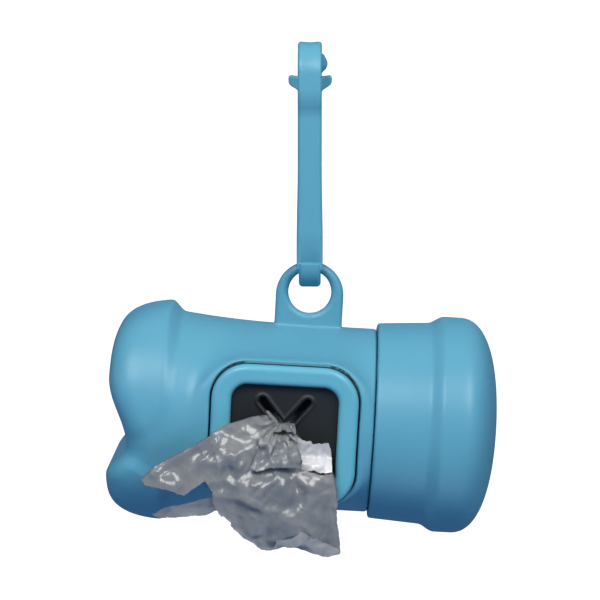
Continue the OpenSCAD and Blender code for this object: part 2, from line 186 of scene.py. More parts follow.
# Rounding of the hook's edges, and blends between its forms
BAR_END_EDGE = 0.5
BEND_END_EDGE = 0.3
CUP_EDGE = 0.2
LEDGE_BLEND = 0.15
NOSE_BLEND = 0.6
BUMP_BLEND = 0.25
ARM_TOP_EDGE = 0.8
ROOT_EDGE = 1.2
ROOT_BLEND = 0.4
EAR_FACE_EDGE = 0.6
EAR_TIP_EDGE = 0.8
EAR_SIDE_EDGE = 0.5
EAR_BLEND = 0.7

# The same for the housing; the bore's inner corner is sharp, so that the roll turns free of it
SEAM_EDGE = 0.7
TAB_EDGE = 1.6
TAB_BLEND = 0.8
EYE_EDGE = 1.5
NECK_EDGE = 0.8
BEAD_BLEND = 0.3
BORE_CORNER = 0.3
BORE_EDGE = 0.5
SEAT_EDGE = 0.7
HOLE_EDGE = 0.4
CAP_CORNER = 1.0
CAP_BORE_EDGE = 0.4
FRAME_EDGE = 1.5
FRAME_BACK_EDGE = 0.3
FLANGE_EDGE = 0.4
SLIT_EDGE = 0.35

# Derived places of the hook and the eyelet
BEND_Z = BEND_R - LOOP_H
HEAD_Z = -HEAD_R
BEND_C = BEND_R + BAR_T / 2
HEAD_C = HEAD_R + BAR_T / 2
NECK_TURN = math.acos(1 - (HEAD_C - BEND_C) / (2 * NECK_BEND_R))
NECK_TOP_Z = HEAD_Z - HEAD_DROP
NECK_LOW_Z = NECK_TOP_Z - 2 * NECK_BEND_R * math.sin(NECK_TURN)
EYE_SAG = EYE_R - math.sqrt((EYE_R - BAR_ROUND) ** 2 - (BEND_W / 2 - BAR_ROUND) ** 2) - BAR_ROUND
EYE_Z = BEND_Z - EYE_R - (BEND_R - EYE_SAG - LOOSE_GAP)

# Derived places of the window and the roll
SEAT_W = FRAME_W + 2 * FLANGE_SHOW
MEMBRANE_Y = SEAT_Y + WINDOW_GAP
RUBBER_FRONT = MEMBRANE_Y + FLANGE_T
FRAME_Y = RUBBER_FRONT + WINDOW_GAP
FRAME_FRONT = FRAME_Y + FRAME_T
OPEN_W = FRAME_W - 2 * FRAME_BAND
OPEN_H = FRAME_H - 2 * FRAME_BAND
OPEN_CORNER_R = FRAME_CORNER_R - FRAME_BAND
HOLE_W = OPEN_W - 2 * WINDOW_LAP
HOLE_H = OPEN_H - 2 * WINDOW_LAP
ROLL_DROP = BORE_R - ROLL_R - LOOSE_GAP

# From the dispenser's own frame to the row frame, in metres
HUNG = (Matrix.Translation((0, 0, EYE_Z * MM)) @ Matrix.Rotation(math.radians(HANG_TILT), 4, "Y")
        @ Matrix.Translation((TAB_S * MM, 0, -EYE_H * MM)))
UPRIGHT = Matrix.Identity(4)

# Boxes that hold each form with room to spare, and the spacing of their grids
WINDOW_LEFT, WINDOW_RIGHT = -WINDOW_S - SEAT_W / 2 - 1, -WINDOW_S + SEAT_W / 2 + 1
WINDOW_TOP = FRAME_H / 2 + 1
BODY_BOX = ((-61, -26, -26.5), (15, 26.5, 37))
CAP_BOX = ((-1, -26, -26.5), (30, 26.5, 26))
FRAME_BOX = ((WINDOW_LEFT, -24, -WINDOW_TOP), (WINDOW_RIGHT, -19.5, WINDOW_TOP))
RUBBER_BOX = ((WINDOW_LEFT, -22.4, -WINDOW_TOP), (WINDOW_RIGHT, -17, WINDOW_TOP))
HOOK_BOX = ((-4, -9, BEND_Z - 7), (4, 9.5, 4))
GATE_BOX = ((-5.6, 1.5, BEND_Z - 2.4), (5.6, 9, -3.5))
SHELL_STEP = 0.42
FRAME_STEP = 0.22
RUBBER_STEP = 0.2
HOOK_STEP = 0.17
FINE = 1.0


# Signed distance forms: negative inside, in millimetres

def smooth_min(a, b, k):
    return np.minimum(a, b) - np.maximum(k - np.abs(a - b), 0) ** 2 / (4 * k)


def smooth_max(a, b, k):
    return -smooth_min(-a, -b, k)


def rise(x, w):
    """Smooth rise from 0 to 1 as x passes from 0 to w."""
    t = np.clip(x / w, 0, 1)
    return t * t * (3 - 2 * t)


def rounded_corner(qx, qz, r):
    """Distance to a rounded corner: qx and qz from the centre of its arc, outwards."""
    return np.hypot(np.maximum(qx, 0), np.maximum(qz, 0)) + np.minimum(np.maximum(qx, qz), 0) - r


def plate_form(x, z, w, h, r):
    """Distance to a rounded rectangle in its own plane."""
    return rounded_corner(np.abs(x) - w / 2 + r, np.abs(z) - h / 2 + r, r)


def lobe_inside(d, h):
    """How far a point lies inside a lobe's edge: d past the step, h from the notch."""
    q = h - GROOVE_HALF
    corner = LOBE_CORNER_R - np.hypot(np.maximum(LOBE_CORNER_R - d, 0), np.maximum(LOBE_CORNER_R - q, 0))
    return np.where((d < LOBE_CORNER_R) & (q < LOBE_CORNER_R), corner, np.minimum(d, q))


def lobe_end(h, top, edge):
    """Distance of the bone's end from its step: h from the notch, lobe end at top, lobe edge at edge."""
    t = np.clip((h - top) / (edge - top), 0, 1)
    notch = LOBE_L - NOTCH_D * (1 + np.cos(math.pi * np.minimum(h / top, 1))) / 2
    lobe = LOBE_L - (LOBE_L - LOBE_START) * (1 - (1 - t ** LOBE_SQUARE) ** (1 / LOBE_SQUARE))
    return np.where(h < top, notch, lobe)


def bone_form(s, y, v):
    """The body's outside without pedestal and tab: the flared tube and its bone end."""
    r = TUBE_R + FLARE * np.clip((-s - TUBE_L + FLARE_LEN) / FLARE_LEN, 0, 1) ** FLARE_POWER
    d, h, high = -s - TUBE_L, np.abs(v - NOTCH_RISE), v > NOTCH_RISE
    top = np.where(high, HIGH_LOBE_H - NOTCH_RISE, LOW_LOBE_H + NOTCH_RISE)
    edge = np.where(high, LOBE_R - NOTCH_RISE, LOBE_R + NOTCH_RISE)
    share = LOBE_SIDE_SHARE + (1 - LOBE_SIDE_SHARE) * v * v / np.maximum(v * v + y * y, AXIS_FLOOR)
    side = np.hypot(v, y) - r - (LOBE_R - r) * share * rise(lobe_inside(d, h), STEP_W)
    return smooth_max(side, d - lobe_end(h, top, edge), RIM_BLEND)


def cap_bulb(s, y, v):
    """The cap's outside: skirt, soft step and a bulb with a domed end."""
    skirt = SKIRT_R + SKIRT_FLARE * np.clip(s / SKIRT_L, 0, 1)
    r = skirt + (BULB_R - skirt) * rise(s - SKIRT_L + STEP_W / 2, STEP_W)
    radius = np.hypot(y, v)
    past = np.maximum(s - SKIRT_L - BULB_L + BULB_DOME, 0) / BULB_DOME
    dome = ((radius / BULB_R) ** BULB_SQUARE + past ** BULB_SQUARE) ** (1 / BULB_SQUARE)
    return np.where(past > 0, (dome - 1) * BULB_R, radius - r)


def tab_form(s, y, v):
    """The eyelet's tab, half round at its top; it ends inside the tube's wall."""
    x, z = s + TAB_S, v - EYE_H
    lift = EYE_R + TAB_RIM - TAB_W / 2
    outline = np.where(z > lift, np.hypot(x, z - lift), np.abs(x)) - TAB_W / 2
    tab = smooth_max(outline, np.abs(y) - TAB_T / 2, TAB_EDGE)
    return np.maximum(tab, -(v - TUBE_R + END_WALL))


def pedestal_form(s, y, v):
    """The raised field that the window sits in."""
    plate = plate_form(s + WINDOW_S, v, PEDESTAL_W, FRAME_H + 2 * PEDESTAL_EDGE,
                       FRAME_CORNER_R + PEDESTAL_EDGE)
    return smooth_max(plate, np.maximum(-y - SEAT_Y - FLANGE_T / 2, y), PEDESTAL_ROUND)


def neck_form(s, radius):
    """The neck under the cap, with its two friction beads."""
    neck = smooth_max(radius - NECK_R, np.maximum(s - NECK_L, -s - END_WALL), NECK_EDGE)
    for share in BEAD_S_SHARES:
        bead = np.hypot(radius - (NECK_R + BEAD_H - BEAD_R), s - share * NECK_L) - BEAD_R
        neck = smooth_min(neck, bead, BEAD_BLEND)
    return neck


def body_form(s, y, v):
    """The moulded body: outside, bore, the window's seat and hole, and the eyelet."""
    bone = bone_form(s, y, v)
    radius = np.hypot(y, v)
    outer = smooth_min(bone, pedestal_form(s, y, v), PEDESTAL_BLEND)
    outer = smooth_max(outer, s, SEAM_EDGE)
    outer = smooth_min(outer, tab_form(s, y, v), TAB_BLEND)
    form = np.minimum(outer, neck_form(s, radius))
    form = smooth_max(form, -smooth_max(radius - BORE_R, bone + END_WALL, BORE_CORNER), BORE_EDGE)
    seat = np.maximum(plate_form(s + WINDOW_S, v, SEAT_W + 2 * SEAT_CLEAR, FRAME_H + 2 * SEAT_CLEAR,
                                 FRAME_CORNER_R + SEAT_CLEAR), y + SEAT_Y)
    form = smooth_max(form, -seat, SEAT_EDGE)
    hole = np.maximum(plate_form(s + WINDOW_S, v, HOLE_W, HOLE_H, OPEN_CORNER_R), y)
    form = smooth_max(form, -hole, HOLE_EDGE)
    eye = np.hypot(s + TAB_S, v - EYE_H) - EYE_R
    return smooth_max(form, -eye, EYE_EDGE)


def cap_form(s, y, v):
    """The pull off cap: a skirt over the neck, and a hollow bulb."""
    radius = np.hypot(y, v)
    outer = smooth_max(cap_bulb(s, y, v), SEAM_GAP - s, SEAM_EDGE)
    skirt = np.maximum(radius - (NECK_R + BEAD_H + SKIRT_PLAY), s - NECK_L - 2 * SEAM_GAP)
    hollow = smooth_max(radius - BORE_R, cap_bulb(s + END_WALL, y, v), CAP_CORNER)
    return smooth_max(smooth_max(outer, -skirt, CAP_BORE_EDGE), -hollow, CAP_BORE_EDGE)


def bezel_form(s, y, v):
    """The blue frame, with a rounded front."""
    middle = plate_form(s + WINDOW_S, v, FRAME_W, FRAME_H, FRAME_CORNER_R) + FRAME_BAND / 2
    form = smooth_max(np.abs(middle) - FRAME_BAND / 2, -y - FRAME_Y - FRAME_T, FRAME_EDGE)
    return smooth_max(form, y + FRAME_Y, FRAME_BACK_EDGE)


def slot_distance(s, v):
    """Distance to the nearer slot of the cross, negative inside it."""
    x, z = s + WINDOW_S, v - SLIT_RISE
    found = np.inf
    for angle in (-SLIT_ANGLE, SLIT_ANGLE):
        c, n = math.cos(math.radians(angle)), math.sin(math.radians(angle))
        along, across = x * c + z * n, z * c - x * n
        slot = np.hypot(np.maximum(np.abs(along) - SLIT_ARM, 0), across) - SLIT_W / 2
        found = np.minimum(found, slot)
    return found


def membrane_form(s, y, v):
    """The rubber: a flange under the frame, a plug in the body's hole, and the lipped slots."""
    slot = slot_distance(s, v)
    lip = LIP_H * np.exp(-((slot - LIP_AWAY) / LIP_W) ** 2)
    flange = smooth_max(plate_form(s + WINDOW_S, v, SEAT_W, FRAME_H, FRAME_CORNER_R),
                        -y - MEMBRANE_Y - FLANGE_T - lip, FLANGE_EDGE)
    plug = plate_form(s + WINDOW_S, v, HOLE_W - 2 * RUBBER_CLEAR, HOLE_H - 2 * RUBBER_CLEAR,
                      OPEN_CORNER_R - RUBBER_CLEAR)
    plug = np.maximum(plug, np.maximum(y + MEMBRANE_Y - PLUG_L, -y - MEMBRANE_Y - FLANGE_T / 2))
    form = np.minimum(np.maximum(flange, y + MEMBRANE_Y), plug)
    return smooth_max(form, -slot, SLIT_EDGE)


def path_distance(y, z, side):
    """Signed offset from the hook's centre line on one side, positive outwards; side -1 front, 1 back."""
    u = y * side
    lower = NECK_BEND_R - np.hypot(u - (BEND_C + NECK_BEND_R), z - NECK_LOW_Z)
    upper = np.hypot(u - (HEAD_C - NECK_BEND_R), z - NECK_TOP_Z) - NECK_BEND_R
    u_mid, z_mid = (BEND_C + HEAD_C) / 2, (NECK_LOW_Z + NECK_TOP_Z) / 2
    below = (u - u_mid) * math.sin(NECK_TURN) + (z - z_mid) * math.cos(NECK_TURN) < 0
    low = np.where(z < NECK_LOW_Z, u - BEND_C, lower)
    high = np.where(z > NECK_TOP_Z, u - HEAD_C, upper)
    return np.where(below, low, high)


def bar_form(offset, x, width, dish):
    """Section of the bar: offset from its centre line outwards, x across its width."""
    rib = dish * np.clip(1 - (2 * x / width) ** 2, 0, 1)
    return rounded_corner(np.abs(x) - width / 2 + BAR_ROUND,
                          np.abs(offset + rib / 2) - BAR_T / 2 + rib / 2 + BAR_ROUND, BAR_ROUND)


def hook_form(x, y, z):
    """The hook but for its gate: a bar from the nose over the crown to its ledge, then the bottom bend."""
    width = SPINE_W + SWELL * rise(SWELL_Z - z, SWELL_L)
    deep = np.clip((LEDGE_DISH_Z - z) / LEDGE_DISH_L, 0, 1) ** LEDGE_DISH_POWER
    dish = HEAD_DISH * rise(z - HEAD_DISH_Z, HEAD_DISH_L) + LEDGE_DISH * deep
    spine = np.where(y < 0, path_distance(y, z, -1), y - HEAD_C)
    offset = np.where(z > HEAD_Z, np.hypot(y, z - HEAD_Z) - HEAD_C, spine)
    bar = bar_form(offset, x, width, dish)
    bar = smooth_max(bar, np.where(y > 0, HEAD_Z - z, BEND_Z - SPINE_LAP - z), BAR_END_EDGE)
    bend = bar_form(np.hypot(y, z - BEND_Z) - BEND_C, x, BEND_W, 0)
    bend = np.maximum(bend, z - BEND_Z)
    cup = np.hypot(y - BEND_C, z - BEND_Z) - KNUCKLE_D / 2 - CUP_GAP
    turn = math.radians(CUP_ANGLE)
    past = np.maximum(-y, -(y * math.sin(turn) + (z - BEND_Z) * math.cos(turn)))
    bend = smooth_max(smooth_max(bend, -past, BEND_END_EDGE), -cup, CUP_EDGE)
    return smooth_min(smooth_min(bar, bend, LEDGE_BLEND), nose_form(x, y, z), NOSE_BLEND)


def knob_form(x, y, z, shift, width, r, height):
    """A round ended bar across the hook's free end, height over the crown's centre."""
    side = np.maximum(np.abs(x - shift) - width / 2 + r, 0)
    return np.sqrt(side ** 2 + (y - HEAD_C) ** 2 + (z - HEAD_Z - height) ** 2) - r


def nose_form(x, y, z):
    """The knob on the free end, set off to the right, with a smaller bump over it."""
    knob = knob_form(x, y, z, NOSE_SHIFT, NOSE_W, NOSE_D / 2, NOSE_RISE + NOSE_D / 2)
    return smooth_min(knob, knob_form(x, y, z, BUMP_SHIFT, BUMP_W, BUMP_R, BUMP_RISE), BUMP_BLEND)


def gate_form(x, y, z):
    """The hook's flexing arm, from its round root to the thumb ears."""
    arm = bar_form(path_distance(y, z, 1), x, BAR_W, 0)
    arm = smooth_max(arm, z - HEAD_Z + ARM_TOP_GAP, ARM_TOP_EDGE)
    arm = smooth_max(arm, BEND_Z - z, BEND_END_EDGE)
    root = smooth_max(np.hypot(y - BEND_C, z - BEND_Z) - KNUCKLE_D / 2, np.abs(x) - BEND_W / 2, ROOT_EDGE)
    return smooth_min(smooth_min(arm, root, ROOT_BLEND), ear_form(x, y, z), EAR_BLEND)


def ear_form(x, y, z):
    """The two blunt thumb ears across the gate's tip, as one bevelled plate."""
    along, height = np.abs(x), z - HEAD_Z + GATE_GAP
    root = 1 - np.clip((along - BAR_W / 2) / (EAR_SPAN / 2 - BAR_W / 2), 0, 1)
    edges = smooth_max(height + EAR_LIFT * root,
                       -height - EAR_TIP_H - (EAR_ROOT_H + EAR_LIFT - EAR_TIP_H) * root, EAR_SIDE_EDGE)
    plate = smooth_max(along - EAR_SPAN / 2, edges, EAR_TIP_EDGE)
    return smooth_max(plate, np.abs(y - HEAD_C) - EAR_T / 2, EAR_FACE_EDGE)


# Meshing

def sampled(form, axes, slab=24):
    """The form's values on the grid, a slab at a time to spare memory."""
    grid = np.empty([len(a) for a in axes], np.float32)
    for i in range(0, len(axes[0]), slab):
        part = np.meshgrid(axes[0][i:i + slab], axes[1], axes[2], indexing="ij")
        grid[i:i + slab] = form(*part)
    return grid


def crossed_cells(inside):
    """Which cells of the grid the surface passes through."""
    count = np.zeros([n - 1 for n in inside.shape], np.int8)
    for dx, dy, dz in np.ndindex(2, 2, 2):
        count += inside[dx:dx + count.shape[0], dy:dy + count.shape[1], dz:dz + count.shape[2]]
    return (count > 0) & (count < 8)


def net_quads(inside, index):
    """A quad round each grid edge that the surface crosses, between the four cells beside the edge."""
    quads = []
    for axis in range(3):
        b, c = [i for i in range(3) if i != axis]
        here = [slice(None)] * 3
        there = [slice(None)] * 3
        here[axis], there[axis] = slice(0, -1), slice(1, None)
        spots = np.argwhere(inside[tuple(here)] != inside[tuple(there)])
        spots = spots[(spots[:, b] > 0) & (spots[:, c] > 0) & (spots[:, b] < inside.shape[b] - 1)
                      & (spots[:, c] < inside.shape[c] - 1)]
        corner = []
        for db, dc in ((1, 1), (0, 1), (0, 0), (1, 0)):
            cell = spots.copy()
            cell[:, b] -= db
            cell[:, c] -= dc
            corner.append(index[tuple(cell.T)])
        quad = np.stack(corner, 1)
        leaving = inside[tuple(spots.T)]
        keep = leaving if axis != 1 else ~leaving
        quad[~keep] = quad[~keep][:, ::-1]
        quads.append(quad)
    return np.concatenate(quads)


def slope(form, points, h=0.02):
    """The form's gradient at each point."""
    out = np.empty_like(points)
    for axis in range(3):
        shift = np.zeros(3)
        shift[axis] = h
        out[:, axis] = (form(*(points + shift).T) - form(*(points - shift).T)) / (2 * h)
    return out


def settled(form, points, step):
    """The points moved onto the form's zero surface, by shorter moves at first, and its normals."""
    for share in (0.7, 0.7, 1.0, 1.0, 1.0):
        gradient = slope(form, points)
        length = np.maximum(np.linalg.norm(gradient, axis=1), 1e-6)[:, None]
        value = form(*points.T)[:, None]
        points = points - np.clip(value / length, -step, step) * gradient / length * share
    return points, gradient / length


def surface_net(form, low, high, step):
    """Quads, vertices and normals of a form's zero surface."""
    axes = [np.arange(a, b + step, step, dtype=np.float64) for a, b in zip(low, high)]
    inside = sampled(form, axes) < 0
    crossed = crossed_cells(inside)
    where = np.argwhere(crossed)
    index = np.full(crossed.shape, -1, np.int64)
    index[crossed] = np.arange(len(where))
    points = (where + 0.5) * step + np.array([a[0] for a in axes])
    return net_quads(inside, index), *settled(form, points, step)


def new_piece(name, verts, faces, smooth=True):
    """An object in the scene, from vertices in metres and faces."""
    mesh = bpy.data.meshes.new(name)
    mesh.from_pydata(verts, [], faces)
    mesh.polygons.foreach_set("use_smooth", [smooth] * len(mesh.polygons))
    mesh.update()
    piece = bpy.data.objects.new(name, mesh)
    bpy.context.scene.collection.objects.link(piece)
    return piece


def moulded(name, form, box, step, place=UPRIGHT):
    """A piece from its form, sizes in millimetres, put in the row frame by place."""
    quads, points, normals = surface_net(form, *box, step * FINE)
    piece = new_piece(name, (points * MM).tolist(), quads.tolist())
    piece.data.transform(place)
    turn = np.array(place.to_3x3())
    piece.data.normals_split_custom_set_from_vertices((normals @ turn.T).tolist())
    piece.data.update()
    return piece


def tube_faces(rings, around, closed=False):
    """Quads between neighbouring rings of points; closed joins the last ring to the first."""
    faces = []
    for i in range(rings if closed else rings - 1):
        near, far = i * around, (i + 1) % rings * around
        for j in range(around):
            k = (j + 1) % around
            faces.append((near + j, near + k, far + k, far + j))
    return faces


# Materials; their sizes are in metres

def new_material(name):
    """A material with its node tree and its shader."""
    material = bpy.data.materials.new(name)
    material.use_nodes = True
    return material, material.node_tree, material.node_tree.nodes["Principled BSDF"]


def add(tree, kind, **values):
    """A node with its sockets, or else its properties, set to the values."""
    node = tree.nodes.new(kind)
    for key, value in values.items():
        if key in node.inputs:
            node.inputs[key].default_value = value
        else:
            setattr(node, key, value)
    return node


def noise(tree, scale, detail, rough):
    spot = add(tree, "ShaderNodeTexCoord")
    out = add(tree, "ShaderNodeTexNoise", Scale=scale, Detail=detail, Roughness=rough)
    tree.links.new(spot.outputs["Object"], out.inputs["Vector"])
    return out


def tint(tree, shader, source, first, last, start=0.0, end=1.0):
    """Base colour that goes from first to last as the source goes from start to end."""
    ramp = add(tree, "ShaderNodeValToRGB")
    stops = ramp.color_ramp.elements
    stops[0].position, stops[1].position = start, end
    stops[0].color = (*first, 1)
    stops[1].color = (*last, 1)
    tree.links.new(source.outputs["Fac"], ramp.inputs["Fac"])
    tree.links.new(ramp.outputs["Color"], shader.inputs["Base Color"])


def uneven_gloss(tree, shader, source, low, high):
    """Roughness between two values, as the source goes."""
    gloss = add(tree, "ShaderNodeMapRange")
    gloss.inputs["To Min"].default_value, gloss.inputs["To Max"].default_value = low, high
    tree.links.new(source.outputs["Fac"], gloss.inputs["Value"])
    tree.links.new(gloss.outputs["Result"], shader.inputs["Roughness"])


def relief(tree, shader, height, strength, distance):
    """Bump of the whole surface from a socket that gives its height."""
    bump = add(tree, "ShaderNodeBump", Strength=strength, Distance=distance)
    tree.links.new(height, bump.inputs["Height"])
    tree.links.new(bump.outputs["Normal"], shader.inputs["Normal"])
    return bump


def plastic(name, colour, deep, rough):
    """Moulded plastic: faint flow marks in colour and gloss, a fine satin skin in the bump."""
    material, tree, shader = new_material(name)
    tint(tree, shader, noise(tree, scale=55, detail=4, rough=0.55), deep, colour, 0.3, 0.7)
    uneven_gloss(tree, shader, noise(tree, scale=260, detail=5, rough=0.6), rough - 0.05, rough + 0.07)
    skin = noise(tree, scale=2600, detail=2, rough=0.5)
    relief(tree, shader, skin.outputs["Fac"], strength=0.06, distance=0.00006)
    shader.inputs["Subsurface Weight"].default_value = 0.12
    shader.inputs["Subsurface Radius"].default_value = (0.0008, 0.0016, 0.002)
    shader.inputs["Specular IOR Level"].default_value = 0.42
    return material


def rubber(name):
    """Near black rubber with a fine matte grain."""
    material, tree, shader = new_material(name)
    shader.inputs["Base Color"].default_value = (0.012, 0.015, 0.015, 1)
    grain = noise(tree, scale=900, detail=4, rough=0.65)
    uneven_gloss(tree, shader, grain, 0.42, 0.62)
    relief(tree, shader, grain.outputs["Fac"], strength=0.25, distance=0.0001)
    shader.inputs["Specular IOR Level"].default_value = 0.5
    return material


def folded_cells(tree):
    """Height of small cells with warped edges, like film that was crumpled and pulled flat again."""
    spot = add(tree, "ShaderNodeTexCoord")
    warp = noise(tree, scale=150, detail=2, rough=0.5)
    push = add(tree, "ShaderNodeVectorMath", operation="MULTIPLY_ADD")
    push.inputs[1].default_value = (0.005, 0.005, 0.005)
    tree.links.new(warp.outputs["Color"], push.inputs[0])
    tree.links.new(spot.outputs["Object"], push.inputs[2])
    cells = add(tree, "ShaderNodeTexVoronoi", Scale=260)
    tree.links.new(push.outputs["Vector"], cells.inputs["Vector"])
    return cells.outputs["Distance"]


def film_skin(name, colour, second, alpha, rough):
    """Thin film: cloudy tint, glossy, with fine crinkles and folded cells between its creases."""
    material, tree, shader = new_material(name)
    tint(tree, shader, noise(tree, scale=110, detail=3, rough=0.55), second, colour, 0.38, 0.62)
    crinkle = noise(tree, scale=700, detail=4, rough=0.6)
    fine = relief(tree, shader, crinkle.outputs["Fac"], strength=0.1, distance=0.0004)
    # This relief takes the fine one's place at the shader and lies over it
    folds = relief(tree, shader, folded_cells(tree), strength=0.7, distance=0.0006)
    tree.links.new(fine.outputs["Normal"], folds.inputs["Normal"])
    shader.inputs["Roughness"].default_value = rough
    shader.inputs["Alpha"].default_value = alpha
    shader.inputs["Specular IOR Level"].default_value = 0.6
    return material


def cardboard(name):
    """Brown board with a rough fibre."""
    material, tree, shader = new_material(name)
    fibre = noise(tree, scale=1400, detail=4, rough=0.7)
    tint(tree, shader, fibre, (0.20, 0.125, 0.062), (0.44, 0.31, 0.18))
    relief(tree, shader, fibre.outputs["Fac"], strength=0.3, distance=0.0001)
    shader.inputs["Roughness"].default_value = 0.85
    return material


def dress(piece, material):
    piece.data.materials.clear()
    piece.data.materials.append(material)


# The rigid pieces

def make_body(blue):
    piece = moulded("body_moulding", body_form, BODY_BOX, SHELL_STEP, HUNG)
    dress(piece, blue)
    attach(piece, "dispenser")
    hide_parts("body_shell")


def make_cap(blue):
    piece = moulded("cap_moulding", cap_form, CAP_BOX, SHELL_STEP, HUNG)
    dress(piece, blue)
    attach(piece, "cap")
    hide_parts("end_cap")


def make_window(blue, black):
    bezel = moulded("window_frame", bezel_form, FRAME_BOX, FRAME_STEP, HUNG)
    dress(bezel, blue)
    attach(bezel, "dispenser")
    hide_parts("window_bezel")
    membrane = moulded("slit_rubber", membrane_form, RUBBER_BOX, RUBBER_STEP, HUNG)
    dress(membrane, black)
    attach(membrane, "dispenser")
    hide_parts("slit_membrane")


def make_hook(blue):
    frame_piece = moulded("hook_moulding", hook_form, HOOK_BOX, HOOK_STEP)
    dress(frame_piece, blue)
    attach(frame_piece, "hook")
    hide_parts("hook_frame")
    gate = moulded("gate_moulding", gate_form, GATE_BOX, HOOK_STEP)
    dress(gate, blue)
    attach(gate, "gate")
    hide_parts("hook_gate")


# Film: sheets folded along listed creases and scattered ones. Their plane is upright, with its origin
# where the film leaves the slots, FILM_RISE over the window's middle.

FILM_RISE = 2.3
CROSSING = HUNG @ Vector((-WINDOW_S * MM, -RUBBER_FRONT * MM, FILM_RISE * MM))

# Spacing of a sheet's net, of its rows as a share of it, and how ragged its edge is
FILM_STEP = 0.36
ROW_SHARE = 0.87
FRAY = 0.1

# How depth spreads from the given ones: by a power of the distance, softened close by
SPREAD_POWER = 1.7
SPREAD_SOFT = 0.4

# A crease's crest is rounded over a share of its width, and it keeps a share of its height at its ends
CREST_SHARE = 0.15
CREASE_END_SHARE = 0.25

# The crumple grows out from the gathered neck and calms down again along the wing on the left
GATHER_R = 0.8
GATHER_W = 4.5
WING_X = -13
WING_W = 5
WING_CALM = 0.6
# Crumple along the sheet, as a share of that across it
SIDE_SHARE = 0.35

# The film keeps off the rubber's and the frame's front, with a ramp inside the frame's opening
OFF_RUBBER = 0.45
OFF_FRAME = 0.6
OFF_SIDE = 0.4
RAMP_W = 1.5
RAMP_BLEND = 0.5

# The strand from roll to bag starts in front of the axis, and its heights count from the slots' crossing
STRAND_START = 16.2
STRAND_RUN = 9.4
STRAND_DROP = 1.9
STRAND_CLIMB = 1.6
STRAND_STEP = 0.4
STRAND_SINK = 1.6
STRAND_ROLL_R = 2.6
STRAND_SLOT_R = 0.85
STRAND_BAG_R = 1.95
STRAND_WIDE = 1.15
STRAND_HIGH = 0.62

# Outlines are (across, up), depths (across, up, distance before the axis), creases (rise, width, line)
FRONT = [
    (-1.5, 0.7), (0.0, -0.0), (1.4, 0.5), (2.5, 0.3), (2.7, -2.2), (3.0, -4.1), (3.9, -5.8),
    (4.0, -8.2), (5.7, -9.1), (8.2, -9.7), (10.6, -9.5), (11.3, -12.4), (11.6, -15.1), (11.5, -18.6),
    (11.7, -20.8), (12.0, -23.6), (12.2, -26.9), (9.4, -27.5), (5.4, -26.2), (2.6, -25.1), (0.1, -24.9),
    (-2.7, -25.9), (-4.7, -25.7), (-7.4, -23.5), (-10.1, -21.8), (-11.1, -21.0), (-11.1, -20.1),
    (-12.8, -18.4), (-13.3, -18.5), (-14.4, -16.8), (-15.0, -15.4), (-15.0, -13.3), (-16.7, -10.9),
    (-18.9, -12.4), (-21.3, -14.1), (-24.7, -12.7), (-27.0, -12.3), (-29.5, -11.8), (-30.4, -10.7),
    (-28.4, -8.9), (-25.4, -6.9), (-21.4, -4.7), (-18.4, -3.2), (-16.1, -1.7), (-13.9, -0.2),
    (-11.7, 0.9), (-10.2, 1.2), (-7.5, 2.0), (-5.6, 2.6), (-3.7, 2.6), (-2.6, 1.4),
]
FRONT_DEPTH = [
    (0, 0, 22.0), (0.4, -2, 24.6), (-5, 0.2, 23.9), (-10, -0.5, 24.8), (-17, -3.5, 25.8),
    (-24, -7.5, 26.4), (-30, -11.5, 27.6), (-25, -13, 28.4), (-20.4, -14.5, 28.0), (-16, -9, 27.4),
    (-14.3, -12.5, 27.9), (-13, -16, 28.2), (-10, -7, 27.6), (-6, -5, 27.2), (-2, -6, 27.6),
    (-6, -13.5, 30.0), (0, -13, 29.6), (5, -13.5, 28.8), (-11, -20, 28.3), (-6, -20, 29.4),
    (0, -20, 29.6), (6, -20, 28.9), (-5.6, -25, 28.2), (2.8, -25.5, 28.2), (12.3, -27, 27.2),
    (12.3, -17.5, 26.5), (11.1, -10.5, 26.0), (8, -8, 26.4), (4, -6, 26.0), (2.5, -3, 24.4),
]
